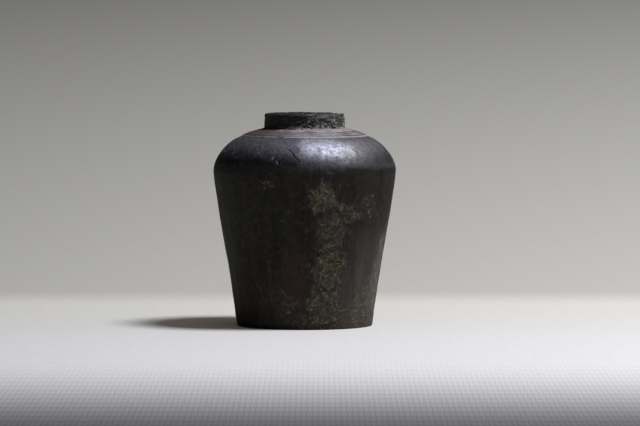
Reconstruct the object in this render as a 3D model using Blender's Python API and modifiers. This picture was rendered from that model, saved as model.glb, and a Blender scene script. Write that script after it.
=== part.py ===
"""Small burnished black clay pot, as the pieces that its potter shapes separately and lutes together.

A foot disc carries a tapered wall. A rounded shoulder stands on the wall, a low domed ring plugs the
shoulder's opening, and a short thick collar sits in a seat in that ring. Coils of soft clay are pressed
into the inside of the two seams that a finger reaches, and a bead of slip is squeezed out round the
collar's foot. Each seam is left open by SLIP_GAP, which is where the slip between two pieces goes.

Units are metres and +Z is up. The origin is the centre of the foot, on the surface the pot stands on.
"""

import math

import bpy
from mathutils import Vector
from mathutils.geometry import interpolate_bezier

MM = 0.001

# Radii of the outside
FOOT_RADIUS = 18.05 * MM  # where the wall stands on the foot disc
BELLY_RADIUS = 23.75 * MM  # where the shoulder stands on the wall, the widest point
SHOULDER_RIM_RADIUS = 16.6 * MM  # opening in the shoulder that the neck seat plugs
NECK_RADIUS = 10.45 * MM
MOUTH_RADIUS = 7.2 * MM  # bore through the collar and its seat

# Heights and thicknesses
FOOT_THICKNESS = 3.4 * MM
WALL_HEIGHT = 36.45 * MM
SHOULDER_RISE = 8.75 * MM
SEAT_RISE = 1.95 * MM  # top of the neck seat above the shoulder's rim
NECK_RISE = 4.05 * MM  # mouth above the neck seat
WALL = 3.0 * MM  # of the wall, the shoulder and the neck seat
SLIP_GAP = 0.3 * MM  # between two pieces that are luted together

# Foot disc
FOOT_UNDERCUT = 0.45 * MM  # how far the disc's side leans in, from its top to its arris
FOOT_ARRIS = 0.4 * MM  # rounding of the edge it stands on
HOLLOW_RADIUS = 11.5 * MM  # shallow hollow in the underside, so that the pot doesn't rock
HOLLOW_DEPTH = 0.45 * MM

# Shape of the outer curves. A fullness is how far a curve keeps its end's direction, as a share of
# the distance to its other end.
FOOT_LEAN = 0.124  # outward run of the wall for each unit of rise, at the foot
FOOT_FULLNESS = 0.34
BELLY_FULLNESS_BELOW = 0.095
BELLY_FULLNESS_ABOVE = 0.33
RIM_SLOPE = math.radians(17.5)  # of the shoulder at its rim
RIM_FULLNESS = 0.57
SEAT_EDGE_SLOPE = math.radians(30)  # of the neck seat's dome at its outer edge
SEAT_TOP_SLOPE = math.radians(9)  # and where the collar stands
SEAT_FULLNESS = 0.33

# Neck
SEAT_PROUD = 0.2 * MM  # the seat's edge above the shoulder's rim
SEAT_RECESS = 0.8 * MM  # how deep the collar is set into the seat
LIP_ROUNDING = 0.6 * MM

# Coils and slip
BASE_COIL_WIDTH = 2.6 * MM
BASE_COIL_HEIGHT = 2.6 * MM
BELLY_COIL_HEIGHT = 5.0 * MM
BELLY_COIL_THICKNESS = 1.3 * MM
BEAD_WIDTH = 1.2 * MM
BEAD_HEIGHT = 0.9 * MM

# Fineness of the turned surfaces
TURN_STEPS = 64
WALL_POINTS = 8
SHOULDER_POINTS = 10
DOME_POINTS = 6
ROUNDING_POINTS = 3
COIL_POINTS = 3

# Heights that follow from the sizes above
WALL_FOOT = FOOT_THICKNESS + SLIP_GAP
WALL_TOP = WALL_FOOT + WALL_HEIGHT
SHOULDER_FOOT = WALL_TOP + SLIP_GAP
SHOULDER_RIM = SHOULDER_FOOT + SHOULDER_RISE
SEAT_TOP = SHOULDER_RIM + SEAT_RISE
COLLAR_FOOT = SEAT_TOP - SEAT_RECESS + SLIP_GAP
MOUTH = SEAT_TOP + NECK_RISE


def clear_scene():
    for leftover in list(bpy.data.objects):
        bpy.data.objects.remove(leftover)


def clay(name, colour, roughness):
    """A Principled BSDF for one piece's finish."""
    material = bpy.data.materials.new(name)
    material.use_nodes = True
    shader = material.node_tree.nodes["Principled BSDF"]
    shader.inputs["Base Color"].default_value = (*colour, 1.0)
    shader.inputs["Roughness"].default_value = roughness
    shader.inputs["Metallic"].default_value = 0.0
    material.diffuse_color = (*colour, 1.0)
    return material


def arc(centre, across, up, start, end, points):
    """Points of an elliptical arc in the (radius, height) plane, from one angle to another in degrees."""
    angles = [math.radians(start + (end - start) * i / points) for i in range(points + 1)]
    return [centre + Vector((across * math.cos(a), up * math.sin(a))) for a in angles]


def inward(outer, depth):
    """The outer profile, which runs downwards, moved into the clay by this depth."""
    moved = []
    for i, point in enumerate(outer):
        before = outer[max(i - 1, 0)]
        after = outer[min(i + 1, len(outer) - 1)]
        along = (after - before).normalized()
        moved.append(point - Vector((-along.y, along.x)) * depth)
    return moved


def radius_at(profile, height):
    """Radius of a profile that runs downwards, at this height."""
    for above, below in zip(profile, profile[1:]):
        if below.y <= height <= above.y:
            share = (above.y - height) / (above.y - below.y)
            return above.x + (below.x - above.x) * share
    raise ValueError("the profile doesn't reach this height")


def runs_downwards_outside(section):
    """True if the closed section goes down on its outer side, as a Screw needs for faces that point out."""
    following = section[1:] + section[:1]
    return sum(a.x * b.y - b.x * a.y for a, b in zip(section, following)) < 0


def turned(name, section, material, collection, closed=True):
    """Turns a section, given as (radius, height) points, about the pot's axis."""
    if closed and not runs_downwards_outside(section):
        section = section[::-1]
    mesh = bpy.data.meshes.new(name)
    edges = [(i, i + 1) for i in range(len(section) - 1)]
    if closed:
        edges.append((len(section) - 1, 0))
    mesh.from_pydata([(p.x, 0, p.y) for p in section], edges, [])
    piece = bpy.data.objects.new(name, mesh)
    collection.objects.link(piece)

    screw = piece.modifiers.new("Turn", "SCREW")
    screw.axis = "Z"
    screw.angle = math.tau
    screw.steps = screw.render_steps = TURN_STEPS
    screw.use_merge_vertices = True
    screw.merge_threshold = 0.001 * MM

    evaluated = piece.evaluated_get(bpy.context.evaluated_depsgraph_get())
    piece.data = bpy.data.meshes.new_from_object(evaluated)
    piece.modifiers.clear()
    bpy.data.meshes.remove(mesh)
    piece.data.name = name
    piece.data.shade_smooth()
    piece.data.set_sharp_from_angle(angle=math.radians(30))
    piece.data.materials.append(material)
    return piece


def wall_outside():
    """The wall's outside, from the belly down to the foot."""
    belly = Vector((BELLY_RADIUS, WALL_TOP))
    foot = Vector((FOOT_RADIUS, WALL_FOOT))
    below_belly = belly - Vector((0, BELLY_FULLNESS_BELOW * WALL_HEIGHT))
    above_foot = foot + Vector((FOOT_LEAN, 1)) * FOOT_FULLNESS * WALL_HEIGHT
    return interpolate_bezier(belly, below_belly, above_foot, foot, WALL_POINTS)


def wall_inside():
    return [point - Vector((WALL, 0)) for point in wall_outside()]


def shoulder_outside():
    """The shoulder's outside, from its rim down to the belly."""
    rim = Vector((SHOULDER_RIM_RADIUS, SHOULDER_RIM))
    belly = Vector((BELLY_RADIUS, SHOULDER_FOOT))
    reach = BELLY_RADIUS - SHOULDER_RIM_RADIUS
    past_rim = rim + Vector((1, -math.tan(RIM_SLOPE))) * RIM_FULLNESS * reach
    above_belly = belly + Vector((0, BELLY_FULLNESS_ABOVE * SHOULDER_RISE))
    return interpolate_bezier(rim, past_rim, above_belly, belly, SHOULDER_POINTS)


def shoulder_inside():
    """The shoulder's inside. It starts level at the belly, so that it meets the wall's top face to face."""
    inside = [point for point in inward(shoulder_outside(), WALL)[:-1] if point.y > SHOULDER_FOOT]
    return [*inside, Vector((BELLY_RADIUS - WALL, SHOULDER_FOOT))]


def foot_disc(material, collection):
    """The slab that closes the pot. Its underside has a shallow hollow inside a flat standing ring."""
    arris_centre = Vector((FOOT_RADIUS - FOOT_UNDERCUT - FOOT_ARRIS, FOOT_ARRIS))
    section = [Vector((0, FOOT_THICKNESS)), Vector((FOOT_RADIUS, FOOT_THICKNESS))]
    section += arc(arris_centre, FOOT_ARRIS, FOOT_ARRIS, 0, -90, ROUNDING_POINTS)
    section += arc(Vector((0, 0)), HOLLOW_RADIUS, HOLLOW_DEPTH, 0, 90, ROUNDING_POINTS)
    section[-1].x = 0
    turned("base_disc", section, material, collection, closed=False)


def base_coil(material, collection):
    """A coil pressed into the inside corner between the disc and the wall."""
    corner = Vector((FOOT_RADIUS - WALL - SLIP_GAP, FOOT_THICKNESS + SLIP_GAP))
    free_side = arc(corner, -BASE_COIL_WIDTH, BASE_COIL_HEIGHT, 0, 90, COIL_POINTS)
    turned("base_seal_coil", [corner, *free_side], material, collection)


def body_wall(material, collection):
    turned("body_wall", wall_outside() + wall_inside()[::-1], material, collection)


def belly_coil(material, collection):
    """A flattened coil smoothed over the inside of the seam between the wall and the shoulder."""
    seam = (WALL_TOP + SHOULDER_FOOT) / 2
    inside = shoulder_inside() + wall_inside()
    angles = [math.pi * i / (2 * COIL_POINTS) for i in range(2 * COIL_POINTS + 1)]
    heights = [seam + BELLY_COIL_HEIGHT / 2 * math.cos(a) for a in angles]
    back = inward([Vector((radius_at(inside, h), h)) for h in heights], SLIP_GAP)
    bulges = [Vector((BELLY_COIL_THICKNESS * math.sin(a), 0)) for a in angles]
    free_side = [point - bulge for point, bulge in zip(back, bulges)]
    turned("belly_seal_coil", back + free_side[-2:0:-1], material, collection)


def shoulder_dome(material, collection):
    section = shoulder_outside() + shoulder_inside()[::-1]
    turned("shoulder_dome", section, material, collection)


def seat_dome():
    """Top of the neck seat, from the collar's foot down to its edge, which stands a little proud."""
    rim_outer = shoulder_outside()[0]
    up_the_rim = (rim_outer - shoulder_inside()[0]).normalized()
    off_the_rim = Vector((-up_the_rim.y, up_the_rim.x)) * SLIP_GAP
    top = Vector((NECK_RADIUS + SLIP_GAP, SEAT_TOP))
    edge = rim_outer + off_the_rim + up_the_rim * SEAT_PROUD
    handle = SEAT_FULLNESS * (edge.x - top.x)
    past_top = top + Vector((1, -math.tan(SEAT_TOP_SLOPE))) * handle
    before_edge = edge + Vector((-1, math.tan(SEAT_EDGE_SLOPE))) * handle
    return interpolate_bezier(top, past_top, before_edge, edge, DOME_POINTS)


def neck_seat(material, collection):
    """A ring whose bevelled edge plugs the shoulder's opening, with a recess that takes the collar."""
    dome = seat_dome()
    up_the_rim = (shoulder_outside()[0] - shoulder_inside()[0]).normalized()
    plug_foot = dome[-1] - up_the_rim * (WALL + SEAT_PROUD)
    recess_floor = SEAT_TOP - SEAT_RECESS
    section = [
        *dome,
        plug_foot,
        Vector((MOUTH_RADIUS, SEAT_TOP - WALL)),
        Vector((MOUTH_RADIUS, recess_floor)),
        Vector((NECK_RADIUS + SLIP_GAP, recess_floor)),
    ]
    turned("neck_seat_ring", section, material, collection)


def neck_collar(material, collection):
    """The short neck, set into its seat, with a flat lip between two rounded edges."""
    outer_round = Vector((NECK_RADIUS - LIP_ROUNDING, MOUTH - LIP_ROUNDING))
    inner_round = Vector((MOUTH_RADIUS + LIP_ROUNDING, MOUTH - LIP_ROUNDING))
    section = [
        *arc(outer_round, LIP_ROUNDING, LIP_ROUNDING, 90, 0, ROUNDING_POINTS),
        Vector((NECK_RADIUS, COLLAR_FOOT)),
        Vector((MOUTH_RADIUS, COLLAR_FOOT)),
        *arc(inner_round, LIP_ROUNDING, LIP_ROUNDING, 180, 90, ROUNDING_POINTS),
    ]
    turned("neck_collar", section, material, collection)


def slip_bead(material, collection):
    """Slip squeezed out round the collar's foot. Its underside follows the slope of the neck seat."""
    corner = Vector((NECK_RADIUS + SLIP_GAP, SEAT_TOP + SLIP_GAP))
    free_side = arc(corner, BEAD_WIDTH, BEAD_HEIGHT, 0, 90, COIL_POINTS)
    free_side[0].y -= BEAD_WIDTH * math.tan(SEAT_TOP_SLOPE)
    turned("neck_slip_bead", [corner, *free_side], material, collection)


def build():
    clear_scene()
    pot = bpy.data.collections.new("black_clay_pot")
    bpy.context.scene.collection.children.link(pot)

    foot_disc(clay("foot_clay", (0.020, 0.017, 0.014), 0.60), pot)
    base_coil(clay("base_coil_clay", (0.034, 0.030, 0.027), 0.90), pot)
    body_wall(clay("wall_clay", (0.018, 0.015, 0.012), 0.45), pot)
    belly_coil(clay("belly_coil_clay", (0.036, 0.032, 0.029), 0.90), pot)
    shoulder_dome(clay("shoulder_clay", (0.014, 0.013, 0.014), 0.32), pot)
    neck_seat(clay("seat_clay", (0.070, 0.056, 0.057), 0.55), pot)
    neck_collar(clay("neck_clay", (0.020, 0.019, 0.019), 0.80), pot)
    slip_bead(clay("dried_slip", (0.240, 0.225, 0.235), 0.90), pot)


build()
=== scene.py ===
"""The small black clay pot as its potter left it, on a pale cloth.

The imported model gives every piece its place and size. Each piece is modelled again here round the pot's
axis, with the unevenness, wear and crust of a hand-built pot, and takes the place of its plain solid.
"""

import math

import bpy
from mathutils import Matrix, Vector, noise
from mathutils.geometry import interpolate_bezier


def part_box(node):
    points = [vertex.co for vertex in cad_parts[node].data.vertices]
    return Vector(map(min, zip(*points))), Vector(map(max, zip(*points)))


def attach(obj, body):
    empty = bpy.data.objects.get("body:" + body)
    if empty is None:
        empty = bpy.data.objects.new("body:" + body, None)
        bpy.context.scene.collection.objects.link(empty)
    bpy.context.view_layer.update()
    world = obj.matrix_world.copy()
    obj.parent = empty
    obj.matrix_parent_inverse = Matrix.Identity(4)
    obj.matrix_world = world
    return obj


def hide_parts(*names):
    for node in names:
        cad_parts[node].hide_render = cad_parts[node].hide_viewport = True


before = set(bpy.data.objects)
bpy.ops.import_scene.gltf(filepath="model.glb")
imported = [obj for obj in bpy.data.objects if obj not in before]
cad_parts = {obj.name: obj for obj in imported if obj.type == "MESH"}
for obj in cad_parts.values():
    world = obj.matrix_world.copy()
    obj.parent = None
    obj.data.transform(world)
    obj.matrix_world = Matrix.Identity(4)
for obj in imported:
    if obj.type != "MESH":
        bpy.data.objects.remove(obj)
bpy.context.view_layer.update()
MM = 0.001


# ---- Foot disc ---------------------------------------------------------------------------------
# A pat of clay beaten flat and cut round, with its edge wiped down and a shallow hollow pressed into
# the underside so that the pot stands steady. It carries the wall, and its rim is burnished with it.

SEAM = 0.3 * MM  # the gap that the plain solids leave for slip
HAIRLINE = 0.01 * MM  # what is left of it when the slip has closed it
SIDES = 128


def radii(node, low=-1.0, high=1.0):
    """Least and greatest distance from the pot's axis of a CAD node's corners between two heights."""
    corners = [v.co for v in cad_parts[node].data.vertices if low <= v.co.z <= high]
    distances = [math.hypot(corner.x, corner.y) for corner in corners]
    return min(distances), max(distances)


def swept(start, start_pull, end_pull, end, count):
    """Stations of (radius, height) along a Bezier curve, which each pull bends at its own end."""
    points = [Vector(p) for p in (start, start_pull, end_pull, end)]
    return [(p.x, p.y) for p in interpolate_bezier(*points, count)]


def turned_piece(name, stations, sides=SIDES, closed=True):
    """Draws a loop of clay through its stations round the pot's axis, and back to the first if closed."""
    bpy.ops.object.select_all(action="DESELECT")
    radius, height = stations[0]
    bpy.ops.mesh.primitive_circle_add(vertices=sides, radius=radius, location=(0, 0, height))
    piece = bpy.context.object
    piece.name = name
    piece.data.name = name
    bpy.ops.object.transform_apply(location=True, rotation=True, scale=True)
    bpy.ops.object.mode_set(mode="EDIT")
    bpy.ops.mesh.select_all(action="SELECT")
    for next_radius, next_height in stations[1:] + stations[: 1 if closed else 0]:
        rise = {"value": (0, 0, next_height - height)}
        growth = next_radius / radius
        bpy.ops.mesh.extrude_region_move(TRANSFORM_OT_translate=rise)
        bpy.ops.transform.resize(value=(growth, growth, 1), center_override=(0, 0, 0))
        radius, height = next_radius, next_height
    bpy.ops.mesh.select_all(action="SELECT")
    bpy.ops.mesh.remove_doubles(threshold=0.002 * MM)
    if not closed:
        bpy.ops.mesh.fill_holes(sides=0)
    bpy.ops.mesh.select_all(action="SELECT")
    bpy.ops.mesh.normals_make_consistent(inside=False)
    bpy.ops.object.mode_set(mode="OBJECT")
    return piece


def apply_modifier(piece, kind, **settings):
    """Adds one modifier with these settings and applies it."""
    bpy.context.view_layer.objects.active = piece
    modifier = piece.modifiers.new(kind.title(), kind)
    for setting, value in settings.items():
        setattr(modifier, setting, value)
    bpy.ops.object.modifier_apply(modifier=modifier.name)


def soften(piece, rounding):
    """Rounds the sharp edges as a wet finger does, and makes the surface fine enough for its relief."""
    levels = 2
    apply_modifier(piece, "BEVEL", width=rounding, segments=2, limit_method="ANGLE", angle_limit=0.7)
    apply_modifier(piece, "SUBSURF", levels=levels, render_levels=levels)
    bpy.ops.object.select_all(action="DESELECT")
    piece.select_set(True)
    bpy.ops.object.shade_smooth()


def weigh(piece, group, weight_at):
    """Gives every vertex a weight from its place and normal."""
    vertex_group = piece.vertex_groups.new(name=group)
    for vertex in piece.data.vertices:
        weight = weight_at(vertex.co, vertex.normal)
        if weight > 0:
            vertex_group.add([vertex.index], min(weight, 1.0), "REPLACE")


def relief(piece, size, depth, group, stretch=(1, 1, 1), **texture_settings):
    """Raises and hollows a group of vertices by a cloudy texture of this size, stretched along the axes."""
    texture = bpy.data.textures.new(f"{piece.name}_clouds", "CLOUDS")
    texture.noise_scale = size
    for setting, value in texture_settings.items():
        setattr(texture, setting, value)
    bpy.ops.object.empty_add()
    cloud_axes = bpy.context.object
    cloud_axes.scale = stretch
    bpy.context.view_layer.update()
    apply_modifier(
        piece,
        "DISPLACE",
        texture=texture,
        texture_coords="OBJECT",
        texture_coords_object=cloud_axes,
        strength=depth,
        vertex_group=group,
    )
    bpy.data.objects.remove(cloud_axes)
    bpy.data.textures.remove(texture)


def press_in(piece, group, depth):
    """Presses a group of vertices in by this depth."""
    apply_modifier(piece, "DISPLACE", strength=-depth, mid_level=0.0, vertex_group=group)


def ramp(value, low, high):
    """0 below low, 1 above high, and smooth between them; low may be the higher of the two."""
    share = min(max((value - low) / (high - low), 0.0), 1.0)
    return share * share * (3 - 2 * share)


# Where lime from damp ground has dried on the pot: centre and half-size of each patch in mm, its turn
# about Y in degrees, and how thick it lies.
LIME_PATCHES = [
    ((5.2, -22.7, 34.3), (4.8, 9.0, 4.8), 0, 1.0),
    ((12.0, -19.0, 30.3), (6.5, 9.0, 3.8), 15, 0.65),
    ((16.5, -15.5, 31.5), (3.2, 9.0, 5.0), 0, 0.5),
    ((7.0, -20.5, 25.0), (5.2, 9.0, 7.0), -10, 0.8),
    ((6.5, -19.0, 15.5), (6.2, 9.0, 8.5), 0, 0.9),
    ((5.2, -18.0, 6.5), (5.8, 9.0, 8.0), 0, 0.85),
    ((15.0, -10.5, 5.0), (6.0, 9.0, 9.0), 20, 0.85),
    ((19.0, -4.0, 13.0), (4.0, 9.0, 14.0), 0, 0.55),
    ((6.0, -17.0, 2.0), (12.0, 9.0, 3.4), 0, 0.55),
    ((-4.6, -18.0, 7.3), (3.6, 8.0, 4.2), 0, 0.6),
    ((-10.2, -21.3, 37.7), (4.2, 8.0, 1.6), 25, 0.45),
    ((-13.0, 17.0, 30.0), (9.0, 9.0, 10.0), 0, 0.8),
    ((-9.0, 18.0, 14.0), (7.0, 9.0, 14.0), -15, 0.8),
    ((19.0, 9.0, 9.0), (9.0, 6.0, 9.0), 0, 0.7),
]


def lime_weight(place, normal):
    """How thick the lime lies at a place on the outside."""
    most = 0.0
    wander = noise.noise_vector(place / (3.0 * MM)) * 1.6 * MM
    for centre, size, _turn, thickness in LIME_PATCHES:
        offset = place + wander - Vector(centre) * MM
        reach = Vector((offset.x / size[0], offset.y / size[1], offset.z / size[2])).length / MM
        most = max(most, thickness * ramp(reach, 1.0, 0.45))
    outward = normal.x * place.x + normal.y * place.y
    return most * ramp(outward, 0.0, 4 * MM)


foot_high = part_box("base_disc")[1]
wall_low, wall_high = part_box("body_wall")
foot_radius = foot_high.x
belly_radius = wall_high.x
wall_thickness = foot_radius - radii("body_wall")[0]
foot_seam = (foot_high.z + wall_low.z) / 2
hollow_radius, standing_radius = radii("base_disc", high=0.05 * MM)
hollow_height = 0.45 * MM

foot_disc = turned_piece(
    "foot_disc",
    [
        (0.5 * MM, hollow_height),
        *swept(
            (3 * MM, hollow_height),
            (hollow_radius * 0.6, hollow_height),
            (hollow_radius * 0.85, 0),
            (hollow_radius, 0),
            6,
        ),
        (hollow_radius + 0.5 * MM, 0),
        ((hollow_radius + standing_radius) / 2, 0),
        (foot_radius - 0.75 * MM, 0),
        (foot_radius - 0.52 * MM, 0.03 * MM),
        (foot_radius - 0.45 * MM, 0.14 * MM),
        *swept(
            (foot_radius - 0.41 * MM, 0.5 * MM),
            (foot_radius - 0.35 * MM, 1.1 * MM),
            (foot_radius - 0.10 * MM, 2.4 * MM),
            (foot_radius, foot_seam - HAIRLINE / 2),
            10,
        ),
        (foot_radius - wall_thickness, foot_seam - HAIRLINE / 2),
        (foot_radius - wall_thickness - 0.3 * MM, foot_high.z),
        (8 * MM, foot_high.z),
        (0.5 * MM, foot_high.z),
    ],
    closed=False,
)
soften(foot_disc, 0.02 * MM)


def outwardness(place, normal):
    """1 where a surface faces straight out from the pot's axis, and -1 where it faces straight in."""
    return (normal.x * place.x + normal.y * place.y) / math.hypot(place.x, place.y, 1e-6)


def on_the_side(place, normal):
    """1 on a piece's outside and 0 on its inside and on the faces that meet other pieces."""
    return ramp(outwardness(place, normal), 0.3, 0.7)


def on_the_inside(place, normal):
    """1 on a piece's inside and 0 elsewhere."""
    return ramp(outwardness(place, normal), -0.3, -0.7)


def off_axis(place):
    """Distance from the pot's axis."""
    return math.hypot(place.x, place.y)


weigh(foot_disc, "side", lambda p, n: on_the_side(p, n) * ramp(p.z, 0.1 * MM, 0.8 * MM))
weigh(foot_disc, "under", lambda p, n: ramp(-n.z, 0.5, 0.9) * ramp(off_axis(p), 15 * MM, 10 * MM))
weigh(foot_disc, "lime", lime_weight)
UNEVEN_SIZE = 13 * MM
UNEVEN_DEPTH = 0.30 * MM
relief(foot_disc, UNEVEN_SIZE, UNEVEN_DEPTH, "side")
relief(foot_disc, 1.6 * MM, 0.12 * MM, "side", stretch=(1, 1, 0.6))
relief(foot_disc, 0.8 * MM, 0.16 * MM, "lime", noise_type="HARD_NOISE")
relief(foot_disc, 1.8 * MM, 0.10 * MM, "under", stretch=(4, 1, 1))


def set_or_link(socket, value):
    """Sets a socket to a plain value, or links it to another socket."""
    if isinstance(value, bpy.types.NodeSocket):
        socket.id_data.links.new(value, socket)
    else:
        socket.default_value = value


def add_node(kind, inputs, **settings):
    """Adds a node beside the first socket among its inputs, and sets or links each input."""
    tree = next(value.id_data for value in inputs.values() if isinstance(value, bpy.types.NodeSocket))
    node = tree.nodes.new(kind)
    for setting, value in settings.items():
        setattr(node, setting, value)
    for socket, value in inputs.items():
        set_or_link(node.inputs[socket], value)
    return node


def math_node(operation, first, second=0.0, clamp=False):
    """The result of one sum on two values or sockets."""
    inputs = {0: first, 1: second}
    return add_node("ShaderNodeMath", inputs, operation=operation, use_clamp=clamp).outputs[0]


def plus(first, second, clamp=False):
    return math_node("ADD", first, second, clamp)


def minus(first, second):
    return math_node("SUBTRACT", first, second)


def times(first, second, clamp=False):
    return math_node("MULTIPLY", first, second, clamp)


def swing(value, reach):
    """A value between 0 and 1, turned into one that swings half this reach either way."""
    return times(minus(value, 0.5), reach)


def from_middle(value):
    """How far a value between 0 and 1 is from its middle."""
    return math_node("ABSOLUTE", minus(value, 0.5))


def vector_node(operation, inputs):
    """The outputs of one sum on vectors."""
    return add_node("ShaderNodeVectorMath", inputs, operation=operation).outputs


def axes_of(place):
    """The place's own X, Y and Z."""
    return add_node("ShaderNodeSeparateXYZ", {"Vector": place}).outputs


def from_axis(place):
    """Distance from the pot's axis."""
    level = vector_node("MULTIPLY", {0: place, 1: (1, 1, 0)})[0]
    return vector_node("LENGTH", {0: level})["Value"]


def use_group(group, inputs):
    """Places a node group with its own values."""
    return add_node("ShaderNodeGroup", inputs, node_tree=group).outputs


def blend(share, first, second, mode="MIX"):
    """Colour of the second over the first, by this share."""
    inputs = {"Factor": share, 6: first, 7: second}
    return add_node("ShaderNodeMix", inputs, data_type="RGBA", blend_type=mode).outputs[2]


def shaded_by(tone, shade):
    """A colour made darker or paler by a grey value."""
    grey = add_node("ShaderNodeCombineColor", {0: shade, 1: shade, 2: shade}).outputs[0]
    return blend(1.0, tone, grey, "MULTIPLY")


def spread(value, low, high, to_low=0.0, to_high=1.0):
    """The value smoothly remapped from one range to another."""
    inputs = {"Value": value, "From Min": low, "From Max": high, "To Min": to_low, "To Max": to_high}
    return add_node("ShaderNodeMapRange", inputs, interpolation_type="SMOOTHSTEP").outputs[0]


def grain(place, scale, detail=3.0, roughness=0.55, distortion=0.0):
    """Grey noise at this many grains to the metre."""
    inputs = {"Vector": place, "Scale": scale, "Detail": detail, "Roughness": roughness}
    return add_node("ShaderNodeTexNoise", {**inputs, "Distortion": distortion}).outputs["Fac"]


def stretched(place, scale):
    """The place with each axis scaled, so that a pattern on it is drawn out along the smaller ones."""
    return add_node("ShaderNodeMapping", {"Vector": place, "Scale": scale}).outputs[0]


def new_group(name, inputs, outputs):
    """An empty shader node group with these sockets, given as (name, kind, value), and its two ends."""
    group = bpy.data.node_groups.new(name, "ShaderNodeTree")
    for socket, kind, *value in inputs:
        made = group.interface.new_socket(name=socket, in_out="INPUT", socket_type=kind)
        if value:
            made.default_value = value[0]
    for socket, kind in outputs:
        group.interface.new_socket(name=socket, in_out="OUTPUT", socket_type=kind)
    return group, group.nodes.new("NodeGroupInput"), group.nodes.new("NodeGroupOutput")


def give(end, **results):
    """Joins each result to the group's output of that name."""
    for name, result in results.items():
        set_or_link(end.inputs[name], result)


FLOAT = "NodeSocketFloat"
COLOUR = "NodeSocketColor"
VECTOR = "NodeSocketVector"


def make_patch_group():
    """One ragged patch on the surface: an ellipsoid whose edge wanders, 1 in the middle and 0 outside."""
    inputs = [
        ("Place", VECTOR),
        ("Centre", VECTOR),
        ("Size", VECTOR, (MM, MM, MM)),
        ("Turn", VECTOR),
        ("Wander", FLOAT, 1.0 * MM),
        ("Amount", FLOAT, 1.0),
    ]
    group, start, end = new_group("ragged_patch", inputs, [("Mask", FLOAT)])
    place = start.outputs["Place"]
    field = add_node("ShaderNodeTexNoise", {"Vector": place, "Scale": 330.0, "Detail": 3.0})
    centred = vector_node("SUBTRACT", {0: field.outputs["Color"], 1: (0.5, 0.5, 0.5)})[0]
    shift = vector_node("SCALE", {0: centred, "Scale": start.outputs["Wander"]})[0]
    moved = vector_node("ADD", {0: place, 1: shift})[0]
    inside = add_node(
        "ShaderNodeMapping",
        {
            "Vector": moved,
            "Location": start.outputs["Centre"],
            "Rotation": start.outputs["Turn"],
            "Scale": start.outputs["Size"],
        },
        vector_type="TEXTURE",
    )
    ball = add_node("ShaderNodeTexGradient", {"Vector": inside.outputs[0]}, gradient_type="SPHERICAL")
    mask = spread(ball.outputs["Fac"], 0.0, 0.55)
    give(end, Mask=times(mask, start.outputs["Amount"]))
    return group


ragged_patch = make_patch_group()


def patch(place, centre, size, turn=(0, 0, 0), wander=1.0 * MM, amount=1.0):
    """Mask of one ragged patch, with its centre and size in mm and its turn in degrees."""
    inputs = {
        "Place": place,
        "Centre": Vector(centre) * MM,
        "Size": Vector(size) * MM,
        "Turn": [math.radians(a) for a in turn],
        "Wander": wander,
        "Amount": amount,
    }
    return use_group(ragged_patch, inputs)["Mask"]


def most_of(masks):
    """The greatest of several masks at each place."""
    result = masks[0]
    for mask in masks[1:]:
        result = math_node("MAXIMUM", result, mask)
    return result


def patches(place, *rows):
    """Mask of several ragged patches together, each row holding what patch() takes."""
    return most_of([patch(place, *row) for row in rows])


def make_lime_group():
    """Dried lime and the green that grows on it: where it is, its colour and how high it stands."""
    outputs = [("Mask", FLOAT), ("Colour", COLOUR), ("Height", FLOAT)]
    group, start, end = new_group("lime_crust", [("Place", VECTOR), ("Amount", FLOAT, 1.0)], outputs)
    place = start.outputs["Place"]
    rows = [(centre, size, (0, turn, 0), 7 * MM, amount) for centre, size, turn, amount in LIME_PATCHES]
    body = times(patches(place, *rows), start.outputs["Amount"])
    crumbs = grain(place, 800.0, 5.0, 0.70)
    raised = plus(times(body, 0.34), crumbs)
    film = times(spread(raised, 0.46, 1.02), 0.75)
    fine = grain(place, 1500.0, 3.0, 0.60)
    specks = spread(plus(times(body, 0.13), fine), 0.68, 0.80)
    soft = grain(place, 620.0, 3.0, 0.60)
    smears = spread(plus(times(body, 0.16), soft), 0.58, 0.76, 0.0, 0.42)
    field = grain(place, 420.0, 2.0, 0.5)
    lines = spread(from_middle(field), 0.024, 0.004)
    thick_lines = times(lines, spread(raised, 0.46, 0.76))
    curls = times(thick_lines, spread(body, 0.05, 0.40, 0.0, 0.8))
    mossy = patches(
        place,
        ((8.2, -18.4, 16.8), (2.9, 5.0, 3.6), (0, 35, 0), 8.0 * MM),
        ((4.9, -17.5, 3.2), (1.2, 4.0, 1.3), (0, 0, 0), 2.5 * MM, 0.9),
        ((5.0, -22.5, 34.0), (5.0, 5.0, 4.0), (0, 0, 0), 5.0 * MM, 0.35),
        ((-12.0, 16.0, 22.0), (4.0, 6.0, 5.0), (0, 0, 0), 5.0 * MM, 0.8),
    )
    moss = spread(plus(mossy, crumbs), 0.80, 1.30)
    film_tone = blend(moss, (0.056, 0.049, 0.036, 1), (0.040, 0.037, 0.020, 1))
    sandy = patch(place, (5.2, -22.7, 34.5), (6.5, 9.0, 5.5), (0, 0, 0), 6.0 * MM)
    tan = times(spread(plus(sandy, crumbs), 0.70, 1.30), spread(soft, 0.35, 0.62))
    tinted = blend(tan, film_tone, (0.088, 0.070, 0.044, 1))
    speck_tone = blend(moss, (0.175, 0.165, 0.130, 1), (0.170, 0.155, 0.088, 1))
    pale = most_of([specks, curls, smears])
    height = plus(times(film, crumbs), times(pale, 0.6))
    give(end, Mask=most_of([film, pale]), Colour=blend(pale, tinted, speck_tone), Height=height)
    return group


lime_crust = make_lime_group()


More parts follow.
